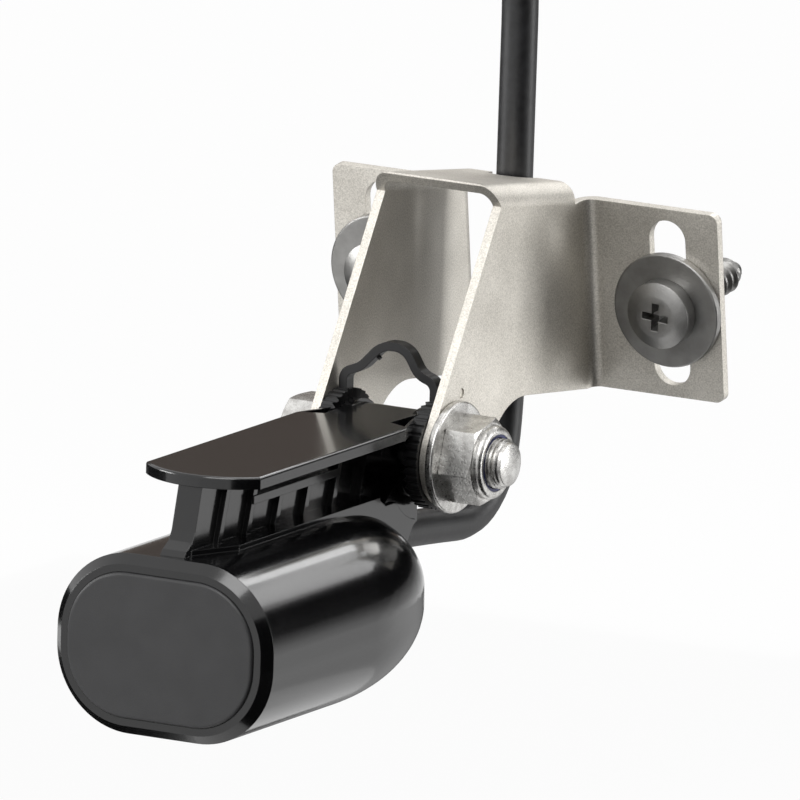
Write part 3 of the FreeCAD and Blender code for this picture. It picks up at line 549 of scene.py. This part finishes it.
# %% Put one screw in each ear
rake = math.radians(7.8)
ear_out = Vector((0, math.cos(rake), math.sin(rake)))
ear_down = Vector((0, math.sin(rake), -math.cos(rake)))
to_right = Vector((1, 0, 0))
sheet_and_washer = 3.0 * mm
below_slot_middle = 0.9 * mm
slot_x = 25.4 * mm
for side, x, turn_deg in (("left", -slot_x, 28), ("right", slot_x, 5)):
    screw = copy_of(screw_model, "screw_" + side)
    seat = to_right * x - ear_out * sheet_and_washer + ear_down * below_slot_middle
    stand = turned_to(to_right, ear_out.cross(to_right), ear_out)
    put(screw, Matrix.Translation(seat) @ stand @ Matrix.Rotation(math.radians(turn_deg), 4, "Z"))
    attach(screw, "bracket")
    if side == "right":
        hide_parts("mounting_screws")
bpy.data.objects.remove(screw_model)
print("two screws placed")

# %% [markdown]
# ## Ties
#
# Three plastic ties hold the coil. A tie is a flat band round the bundle with a square head that its
# tongue is pulled through. The band is an open rod with a wall given by Solidify, and the head is a
# cube with its slot pushed in by inset and extrude.

# %% The tie's band, round the Z axis
band_radius = 15.5 * mm
band_width = 6.2 * mm
band_thick = 0.7 * mm

band = rod(band_radius, -band_width / 2, band_width / 2, 72, ends="NOTHING")
pick_all(band)
bpy.ops.mesh.subdivide(number_cuts=1)
done()
wall = band.modifiers.new("wall", "SOLIDIFY")
wall.thickness = band_thick
wall.offset = -1
bpy.ops.object.modifier_apply(modifier=wall.name)
soften(band, 0.15 * mm, 40)
print("band", len(band.data.polygons), "faces")

# %% The tie's head and tongue
buckle_size = (5.4 * mm, 3.6 * mm, 8.0 * mm)
buckle_out = band_radius + 1.0 * mm
slot_rim, slot_depth = 0.7 * mm, 1.1 * mm
tongue_size = (5.0 * mm, 0.8 * mm, 6.0 * mm)
tongue_along = 4.4 * mm
tongue_tip = (2.0 * mm, 0.2 * mm, 0)
tongue_tip_share = (1, 0.8, 0.6)

buckle = block(buckle_size, (0, -buckle_out, 0))
for way in (-1, 1):
    pick_faces(buckle, lambda c, n: n.x * way > 0.9)
    bpy.ops.mesh.inset(thickness=slot_rim)
    bpy.ops.mesh.extrude_region_move(TRANSFORM_OT_translate={"value": (-way * slot_depth, 0, 0)})
    done()
soften(buckle, 0.3 * mm, 50, 3)
tongue = block(tongue_size, (tongue_along, -buckle_out, 0))
pick_faces(tongue, lambda c, n: n.x > 0.9)
bpy.ops.mesh.extrude_region_move(TRANSFORM_OT_translate={"value": tongue_tip})
bpy.ops.transform.resize(value=tongue_tip_share)
done()
soften(tongue, 0.15 * mm, 40)
tie_model = close_up(join([band, buckle, tongue], "tie_model"))
print("tie", len(tie_model.data.polygons), "faces")

# %% [markdown]
# The model is copied three times round the coil, with the cable running through it and its head
# on the side away from the boat. Uneven angles look like ties put on by hand.

# %% Three ties round the coil
for i, angle in enumerate((-20, 240, 95)):
    spoke = Vector((math.cos(math.radians(angle)), 0, math.sin(math.radians(angle))))
    boat = Vector((0, 1, 0))
    along = spoke.cross(boat)
    tie = copy_of(tie_model, f"coil_tie_{i + 1}")
    middle = (coil_centre + spoke * coil_radius) * mm
    put(tie, Matrix.Translation(middle) @ turned_to(spoke, boat, along))
    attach(tie, "bracket")
    if i == 0:
        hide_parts("coil_ties")
bpy.data.objects.remove(tie_model)
print("three ties placed")

# %% [markdown]
# ## Plug boot
#
# Where the cable meets its plug, a soft tapered boot with rings keeps it from kinking. It is a rod
# that is cut into slices, every other slice drawn in, on the cable's own line where it ends.

# %% Shape the boot, slice by slice
boot_start = -6.0 * mm
boot_length = 18.0 * mm
first_radius, first_slice = 3.7, 1.2 * mm
thin_end, thick_end = 3.75, 4.6
groove = 0.55
slices = 14
slope_share = 0.25

boot = rod(first_radius * mm, boot_start, boot_start + first_slice, 48)
step = (boot_length - first_slice) / slices
now = first_radius
for i in range(slices):
    drawn_in = groove if i % 2 == 0 and i < slices - 2 else 0
    wanted = thin_end + (thick_end - thin_end) * i / (slices - 1) - drawn_in
    for rise in (slope_share, 1 - slope_share):
        pick_faces(boot, lambda c, n: n.z > 0.99)
        bpy.ops.mesh.extrude_region_move(TRANSFORM_OT_translate={"value": (0, 0, step * rise)})
        if rise == slope_share:
            bpy.ops.transform.resize(value=(wanted / now, wanted / now, 1))
            now = wanted
        done()
soften(boot, 0.12 * mm, 25)
close_up(boot, 40)
boot.name = "plug_boot"

# %% Put the boot on the cable's end
tail_end = cable_path[-1]
tail_way = (cable_path[-1] - cable_path[-4]).normalized()
side_way = tail_way.cross(Vector((0, 0, 1))).normalized()
put(boot, Matrix.Translation(tail_end) @ turned_to(side_way, tail_way.cross(side_way), tail_way))
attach(boot, "bracket")
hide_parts("plug_strain_relief")
print("boot", len(boot.data.polygons), "faces")

# %% [markdown]
# The pieces that sit on the cable are gathered in a list.

# %% The pieces on the cable
on_cable = [boot, nodes["plug_body"], nodes["plug_collar"], nodes["plug_pins"]]
on_cable += [bpy.data.objects[f"coil_tie_{i}"] for i in (1, 2, 3)]

# %% [markdown]
# ## Finishes
#
# Colours are written as they look on a screen, in hex, and turned into the linear numbers that
# the shader wants. One helper adds a node with its settings and links. Patterns use the objects'
# own coordinates in metres, so a scale of 1 / 0.0004 gives features about 0.4 mm across. Nearly
# every finish has a pattern in its colour and in its roughness, because no real surface is even.

# %% Colour and node helpers
def linear(hex_code):
    """An sRGB hex colour as linear numbers."""
    parts = [int(hex_code[i:i + 2], 16) / 255 for i in (1, 3, 5)]
    return [p / 12.92 if p <= 0.04045 else ((p + 0.055) / 1.055) ** 2.4 for p in parts] + [1]


def new_material(name, metallic=0.0, roughness=0.5, ior=1.5, **more):
    """A Principled material, with plain numbers on the shader's own sockets."""
    material = bpy.data.materials.new(name)
    material.use_nodes = True
    shader = material.node_tree.nodes["Principled BSDF"]
    shader.inputs["Metallic"].default_value = metallic
    shader.inputs["Roughness"].default_value = roughness
    shader.inputs["IOR"].default_value = ior
    for socket, value in more.items():
        shader.inputs[socket.replace("_", " ")].default_value = value
    return material, shader


def wire(owner, source, target):
    """Link two sockets in the nodes of a material or the world."""
    owner.node_tree.links.new(source, target)


def add(owner, kind, settings=None, **links):
    """A node of that kind, in a material or the world. Settings are its own options. Links are its
    sockets' values or sources: Scale is the socket of that name, and _2 the third from the top."""
    node = owner.node_tree.nodes.new("ShaderNode" + kind)
    for name, value in (settings or {}).items():
        setattr(node, name, value)
    for name, value in links.items():
        by_place = name.startswith("_")
        socket = node.inputs[int(name[1:]) if by_place else name.replace("_", " ")]
        if isinstance(value, bpy.types.NodeSocket):
            wire(owner, value, socket)
        else:
            socket.default_value = value
    return node


print("node helpers ready")

# %% Helpers for patterns
def grain(material, size, detail=3.0):
    """Noise with features about that many metres across."""
    spot = add(material, "TexCoord").outputs["Object"]
    return add(material, "TexNoise", Vector=spot, Scale=1 / size, Detail=detail).outputs["Fac"]


def blend_colours(material, shader, fac, *stops):
    """Base colour from a ramp of (position, hex) over a pattern."""
    ramp = add(material, "ValToRGB", Fac=fac)
    elements = ramp.color_ramp.elements
    while len(elements) < len(stops):
        elements.new(0.5)
    for element, (position, code) in zip(elements, stops):
        element.position = position
        element.color = linear(code)
    wire(material, ramp.outputs["Color"], shader.inputs["Base Color"])


def vary_roughness(material, shader, fac, low, high):
    """Roughness from low to high over a pattern."""
    spread = add(material, "MapRange", Value=fac, _3=low, _4=high)
    wire(material, spread.outputs["Result"], shader.inputs["Roughness"])


def bumps(material, shader, *layers, edge=0.00018):
    """Relief from (pattern, depth in metres) layers, over edges rounded by that many metres."""
    normal = add(material, "Bevel", {"samples": 4}, Radius=edge).outputs["Normal"]
    for fac, depth in layers:
        node = add(material, "Bump", Height=fac, Distance=depth, Strength=1.0)
        wire(material, normal, node.inputs["Normal"])
        normal = node.outputs["Normal"]
    wire(material, normal, shader.inputs["Normal"])


print("pattern helpers ready")

# %% [markdown]
# ### Metals
#
# The bracket is 304 stainless sheet, folded and then bead-blasted: satin, with a grain like fine
# sandpaper that catches light as small bright and dark specks. The beads leave dimples of about
# 0.15 mm; they are drawn at 0.24 mm, because finer ones would blur away in the picture. The bolt
# and nut are cold-formed stainless, brighter and a little uneven. The screws and their washers
# were tumbled and passivated, which leaves them darker and satin.

# %% Metal finishes
# Blasted sheet: satin, sandy, with soft clouds. The colour follows both patterns, specks the most.
blasted, shader = new_material("stainless_bead_blasted", metallic=1.0, roughness=0.48)
specks = grain(blasted, 0.00024, 2.0)
clouds = grain(blasted, 0.009, 3.0)
cloud_part = add(blasted, "Math", {"operation": "MULTIPLY"}, _0=clouds, _1=0.3).outputs[0]
mixed = add(blasted, "Math", {"operation": "MULTIPLY_ADD"}, _0=specks, _1=0.7, _2=cloud_part).outputs[0]
blend_colours(blasted, shader, mixed, (0.36, "#BDB9B1"), (0.5, "#D2CEC6"), (0.66, "#E4E0D8"))
vary_roughness(blasted, shader, specks, 0.42, 0.54)
bumps(blasted, shader, (specks, 0.00002), (clouds, 0.00005))

# Cold-formed bar: bright and soft-edged, with the small marks of its dies.
formed, shader = new_material("stainless_cold_formed", metallic=1.0, roughness=0.28)
fine = grain(formed, 0.0003, 3.0)
marks = grain(formed, 0.0016, 4.0)
blend_colours(formed, shader, marks, (0.35, "#B4B2AF"), (0.65, "#DCDBD8"))
vary_roughness(formed, shader, fine, 0.2, 0.38)
bumps(formed, shader, (fine, 0.00003), (marks, 0.00004), edge=0.00025)

# Tumbled steel: grey and satin, because the stones leave fine pits all over.
tumbled, shader = new_material("steel_tumbled_passivated", metallic=1.0, roughness=0.38)
pits = grain(tumbled, 0.00028, 3.0)
smears = grain(tumbled, 0.003, 4.0)
blend_colours(tumbled, shader, smears, (0.3, "#8B8A88"), (0.7, "#A09F9D"))
vary_roughness(tumbled, shader, pits, 0.3, 0.48)
bumps(tumbled, shader, (pits, 0.00003), (smears, 0.00002), edge=0.00025)

# Gold plate on brass: warm and smooth, a little worn where it slides.
gold, shader = new_material("brass_gold_plated", metallic=1.0, roughness=0.2)
wear = grain(gold, 0.0008)
blend_colours(gold, shader, wear, (0.3, "#B58E3C"), (0.7, "#D9B45C"))
vary_roughness(gold, shader, wear, 0.14, 0.3)
bumps(gold, shader, (wear, 0.00001))
print("metals ready")

# %% [markdown]
# ### Plastics
#
# The body is injection-moulded ASA with a polished tool face: near black, glossy, with the very
# slight waviness that moulded walls have. The ratchets' tool is duller, which makes them satin.
# The end panel, the ties and the plug come from an etched tool, so they are matt with a grain of
# about 0.2 mm, drawn at 0.25 mm. The cable's jacket is extruded PVC, satin, and the ring in the
# nut is blue nylon.

# %% Moulded plastics
# Polished moulding: deep black that mirrors the studio, softened by a slow wave in the wall.
gloss, shader = new_material(
    "asa_moulded_gloss", roughness=0.15, ior=1.52, Coat_Weight=0.25, Coat_Roughness=0.06)
waves = grain(gloss, 0.014, 1.0)
dust = grain(gloss, 0.0006, 3.0)
blend_colours(gloss, shader, waves, (0.3, "#070708"), (0.7, "#0D0D0E"))
vary_roughness(gloss, shader, dust, 0.11, 0.2)
bumps(gloss, shader, (waves, 0.00003), (dust, 0.0000015))

# Etched moulding: matt and a shade lighter, because its grain scatters the light.
matt, shader = new_material("asa_moulded_etched", roughness=0.5, ior=1.5)
etch = grain(matt, 0.00025, 2.0)
tone = grain(matt, 0.006, 3.0)
blend_colours(matt, shader, tone, (0.3, "#161617"), (0.7, "#1F1F21"))
vary_roughness(matt, shader, tone, 0.42, 0.56)
bumps(matt, shader, (etch, 0.00002))

# Duller moulding: dark, with broad soft highlights along its ribs.
satin, shader = new_material("asa_moulded_satin", roughness=0.34, ior=1.5)
etch = grain(satin, 0.0003, 2.0)
tone = grain(satin, 0.004, 3.0)
blend_colours(satin, shader, tone, (0.3, "#101011"), (0.7, "#19191A"))
vary_roughness(satin, shader, tone, 0.28, 0.4)
bumps(satin, shader, (etch, 0.00001))

# Etched panel: the palest of the blacks, even and flat.
panel, shader = new_material("asa_panel_etched", roughness=0.5, ior=1.5)
etch = grain(panel, 0.00025, 2.0)
tone = grain(panel, 0.006, 3.0)
blend_colours(panel, shader, tone, (0.3, "#2A2A2B"), (0.7, "#303031"))
vary_roughness(panel, shader, tone, 0.42, 0.52)
bumps(panel, shader, (etch, 0.000015), edge=0.0004)

print("moulded finishes ready")

# %% Extruded plastics and the nylon ring
# Extruded jacket: satin black, faintly uneven where the soft skin ran out of the die.
jacket, shader = new_material("pvc_extruded_jacket", roughness=0.42, ior=1.53)
drawn = grain(jacket, 0.0012, 3.0)
pores = grain(jacket, 0.0003, 2.0)
blend_colours(jacket, shader, drawn, (0.3, "#161617"), (0.7, "#222224"))
vary_roughness(jacket, shader, drawn, 0.34, 0.5)
bumps(jacket, shader, (pores, 0.000012), (drawn, 0.00002))

# Pressed-in nylon: dark blue, waxy and slightly cloudy.
nylon, shader = new_material("nylon_blue_ring", roughness=0.38, ior=1.53)
cloudy = grain(nylon, 0.0009)
blend_colours(nylon, shader, cloudy, (0.3, "#1B2052"), (0.7, "#2C3478"))
vary_roughness(nylon, shader, cloudy, 0.3, 0.46)
bumps(nylon, shader, (cloudy, 0.00001))

# Thin extruded insulation: red and half matt, lightly streaked.
wire_coat, shader = new_material("wire_extruded_red", roughness=0.45, ior=1.5)
streaks = grain(wire_coat, 0.0007)
blend_colours(wire_coat, shader, streaks, (0.3, "#A83226"), (0.7, "#C14537"))
vary_roughness(wire_coat, shader, streaks, 0.38, 0.52)
bumps(wire_coat, shader, (streaks, 0.00001))
print("extruded finishes ready")

# %% [markdown]
# ### Inside the body
#
# None of these show while the body is closed: a silvered ceramic disc in a cork cup, set in dark
# resin, and a temperature sensor in an epoxy bead. They still get the finish of the real thing.

# %% Resin, ceramic, cork and epoxy
# Cast resin: dark, clear at the skin, with slow swirls from the pouring.
resin, shader = new_material("polyurethane_potting", roughness=0.22, ior=1.5)
swirl = grain(resin, 0.008, 4.0)
blend_colours(resin, shader, swirl, (0.3, "#1F1D19"), (0.7, "#35312A"))
vary_roughness(resin, shader, swirl, 0.16, 0.32)
bumps(resin, shader, (swirl, 0.00008))

# Fired ceramic with a thin silver coat: pale and finely speckled.
ceramic, shader = new_material("piezo_silvered_ceramic", roughness=0.4, ior=1.6)
fired = grain(ceramic, 0.0005, 3.0)
blend_colours(ceramic, shader, fired, (0.35, "#BDB59F"), (0.65, "#D8D1BF"))
vary_roughness(ceramic, shader, fired, 0.3, 0.5)
bumps(ceramic, shader, (fired, 0.000015))

# Pressed cork: dull granules of about 1.5 mm, each with its own dark edge.
cork, shader = new_material("cork_pressed", roughness=0.85, ior=1.4)
spot = add(cork, "TexCoord").outputs["Object"]
granules = add(cork, "TexVoronoi", Vector=spot, Scale=1 / 0.0015).outputs["Distance"]
blend_colours(cork, shader, granules, (0.1, "#7A5532"), (0.45, "#A67C52"), (0.8, "#C29A6B"))
bumps(cork, shader, (granules, 0.0002))

# Dipped epoxy: glossy and brown, with runs where it sagged.
epoxy, shader = new_material("epoxy_dipped", roughness=0.15, ior=1.55)
runs = grain(epoxy, 0.002, 2.0)
blend_colours(epoxy, shader, runs, (0.3, "#2E201A"), (0.7, "#4A362B"))
bumps(epoxy, shader, (runs, 0.00005))
print("inside ready")

# %% [markdown]
# ### Which piece has which finish
#
# One list gives every piece its material. It also names the CAD pieces that the new ones stand
# for, so that those carry the same finish.

# %% Give every piece its finish
finishes = {
    blasted: ["bracket"],
    formed: ["pivot_washer", "lock_nut", "bolt", "pivot_bolt"],
    tumbled: ["screw_washers", "screw_left", "screw_right", "mounting_screws"],
    nylon: ["nut_insert"],
    gloss: ["housing"],
    panel: ["end_cap"],
    satin: ["ratchet_pair"],
    matt: ["coil_tie_1", "coil_tie_2", "coil_tie_3", "coil_ties", "plug_body", "plug_collar"],
    jacket: ["cable_run", "plug_boot", "cable", "cable_coil", "cable_tail", "plug_strain_relief"],
    gold: ["plug_pins"],
    wire_coat: ["lead_wires"],
    resin: ["potting"],
    ceramic: ["piezo_disc"],
    cork: ["cork_backing"],
    epoxy: ["temperature_sensor"],
}
for material, names in finishes.items():
    for name in names:
        piece = bpy.data.objects[name]
        piece.data.materials.clear()
        piece.data.materials.append(material)
print(sum(len(names) for names in finishes.values()), "pieces have a finish")

# %% [markdown]
# ## Studio
#
# The picture is a product shot on white. Everything is placed by direction from the bolt: the
# azimuth counts from dead ahead, towards the boat, and grows to the right. The world is white
# where the camera, a reflection or a clear body sees it, and lights matt things at half of that.

# %% Directions and the white world
white = (1, 1, 1, 1)
world_as_light = 0.5


def toward(azimuth_deg, elevation_deg):
    """The direction with that azimuth and height over the horizon."""
    a, e = math.radians(azimuth_deg), math.radians(elevation_deg)
    return Vector((math.sin(a) * math.cos(e), math.cos(a) * math.cos(e), math.sin(e)))


def seen_directly(owner):
    """1 for camera, glossy and transmission rays, 0 for the rest."""
    rays = add(owner, "LightPath")
    result = rays.outputs["Is Camera Ray"]
    for name in ("Is Glossy Ray", "Is Transmission Ray"):
        either = add(owner, "Math", {"operation": "MAXIMUM"}, _0=result, _1=rays.outputs[name])
        result = either.outputs[0]
    return result


world = bpy.data.worlds.new("studio")
bpy.context.scene.world = world
world.use_nodes = True
strength = add(world, "MapRange", Value=seen_directly(world), _3=world_as_light, _4=1.0)
sky = world.node_tree.nodes["Background"]
sky.inputs["Color"].default_value = white
wire(world, strength.outputs["Result"], sky.inputs["Strength"])
print("world", world.name)

# %% [markdown]
# The floor is a sheet of matt white paper that also glows. Where it is seen directly the glow
# makes up nearly all of it, so it is as white as the world, with only a trace of the part's
# shadow. As a light it is plain paper.

# %% Floor
floor_side = 6
floor_below = 0.1
glow_share = 0.965

clear_selection()
bpy.ops.mesh.primitive_plane_add(size=floor_side, location=(0, 0, cad_box[0][2] - floor_below))
floor = bpy.context.object
floor.name = "floor"
paper, shader = new_material("floor_paper", roughness=0.9, Base_Color=linear("#F4F4F4"))
glow = add(paper, "Emission", Color=white)
share = add(paper, "Math", {"operation": "MULTIPLY"}, _0=seen_directly(paper), _1=glow_share)
lit = add(paper, "MixShader", _0=share.outputs[0], _1=shader.outputs[0], _2=glow.outputs[0])
wire(paper, lit.outputs[0], paper.node_tree.nodes["Material Output"].inputs["Surface"])
floor.data.materials.append(paper)
print("floor", floor_below, "m below the part")

# %% [markdown]
# A glossy black body shows its surroundings more than its own colour. The light lines along its
# edges are lamps, and its dark faces are cards that keep the white room off. Each lamp faces the
# bolt, and its brightness is counted beside a white room at 1.

# %% Lamps
def lamp(name, azimuth_deg, elevation_deg, away, width, height, level):
    """A soft lamp facing the bolt. Level is its brightness beside a white room at 1."""
    way = toward(azimuth_deg, elevation_deg)
    clear_selection()
    bpy.ops.object.light_add(type="AREA", location=pivot + way * away)
    soft = bpy.context.object
    soft.name = name
    soft.rotation_euler = way.to_track_quat("Z", "Y").to_euler()
    soft.data.shape = "RECTANGLE"
    soft.data.size = width
    soft.data.size_y = height
    soft.data.energy = level * math.pi * width * height


# Name, azimuth, elevation, metres away, width, height, level.
lamp("key", 170, 50, 0.9, 0.5, 0.5, 5.0)
lamp("top", 20, 78, 0.8, 0.5, 0.4, 4.0)
lamp("strip", -5, 35, 0.7, 0.24, 0.12, 4.0)
lamp("strip_soft", 16, 27, 0.7, 0.24, 0.16, 1.9)
lamp("tall_right", 54, 2, 1.0, 0.3, 0.5, 6.0)
lamp("left_low", -118, 12, 0.6, 0.25, 0.25, 8.0)

# %% [markdown]
# Each card glows with one even shade of its own, or fades from one to another, so no lamp changes it: it
# is a panel of light at that shade. The camera doesn't see the cards, but reflections do.
#
# - Ahead of the part, a black card gives the black band along the body's side, and a warm dark
#   one the top of the arm.
# - Below them, glowing greys that mostly fade give the lower flank its soft change from dark to light.
# - To the left, dark cards give the dark left bevel.
# - To the right, dark cards give the fold beside the ear and the right bevel.
# - Behind, a pale card keeps the ears and the screw heads a shade under the white room.

# %% Cards
def card(name, spot, width, height, colour, turn_deg=None, fade=None):
    """A card of one even shade that the camera doesn't see, flat, or standing and turned to face
    that azimuth. With a fade, the shade changes to that second one along the card: up a standing
    card, and to the right on a flat one."""
    clear_selection()
    bpy.ops.mesh.primitive_plane_add(size=1, location=spot)
    board = bpy.context.object
    board.name = name
    board.scale = (width, height, 1)
    if turn_deg is not None:
        board.rotation_euler = (math.radians(90), 0, -math.radians(turn_deg))
    bpy.ops.object.transform_apply(location=False, rotation=True, scale=True)
    board.visible_camera = False
    # The card's material is a glow at its shade, emission without reflection, so the card is a panel of
    # light that only reflections see.
    card_glow, shader = new_material(
        name + "_paint", roughness=1.0, Base_Color=(0, 0, 0, 1), Specular_IOR_Level=0.0,
        Emission_Strength=1.0, Emission_Color=linear(colour))
    if fade:
        place_on_card = add(card_glow, "TexCoord").outputs["Object"]
        ways = add(card_glow, "SeparateXYZ", Vector=place_on_card)
        along, size = ("X", width) if turn_deg is None else ("Z", height)
        part = add(card_glow, "MapRange", Value=ways.outputs[along], _1=-size / 2, _2=size / 2)
        ramp = add(card_glow, "ValToRGB", Fac=part.outputs["Result"])
        for element, code in zip(ramp.color_ramp.elements, (colour, fade)):
            element.color = linear(code)
        wire(card_glow, ramp.outputs["Color"], shader.inputs["Emission Color"])
    board.data.materials.append(card_glow)


# Name, place, width, height, shade. The flat ones lie just over the floor.
over_floor = 0.005
low = cad_box[0][2] - floor_below + over_floor
ahead_away = 0.56
right_away = 0.4
card("black_ahead", pivot + toward(14, 10.3) * ahead_away, 0.62, 0.223, "#080808", turn_deg=14)
card("brown_ahead", pivot + toward(-40, 13) * ahead_away, 0.62, 0.26, "#6C635D", turn_deg=-40)
card("black_left", (-0.5, 0.04, low + 0.075), 0.7, 0.14, "#1C1C1C", turn_deg=-90)
card("graded_floor", (0.0, 0.3, low), 0.34, 0.4, "#5A5A5A", fade="#FFFFFF")
card("dark_floor", (-0.24, 0.25, low), 0.14, 0.3, "#5A5A5A")
card("graded_low", pivot + toward(14, -7) * ahead_away, 0.62, 0.11, "#F0F0F0", turn_deg=14, fade="#505050")
card("black_floor", (-0.27, -0.01, low), 0.44, 0.24, "#262626")
card("dark_behind", (0.05, -0.46, low), 0.34, 0.44, "#D0D0D0")
card("dark_right", pivot + toward(117, 3) * right_away, 0.6, 0.29, "#101010", turn_deg=117)
card("floor_right", (0.25, -0.13, low), 0.42, 0.36, "#1C1C1C")
print(sum(material.name.endswith("_paint") for material in bpy.data.materials), "cards")

# %% [markdown]
# ## Colours, sizes and the end
#
# Colours go into the picture as they are, without a film look, because the hex values above were matched
# to the picture. Last, the CAD model's box is printed.

# %% Finish
bpy.context.scene.view_settings.view_transform = "Standard"
print("cad", cad_box)
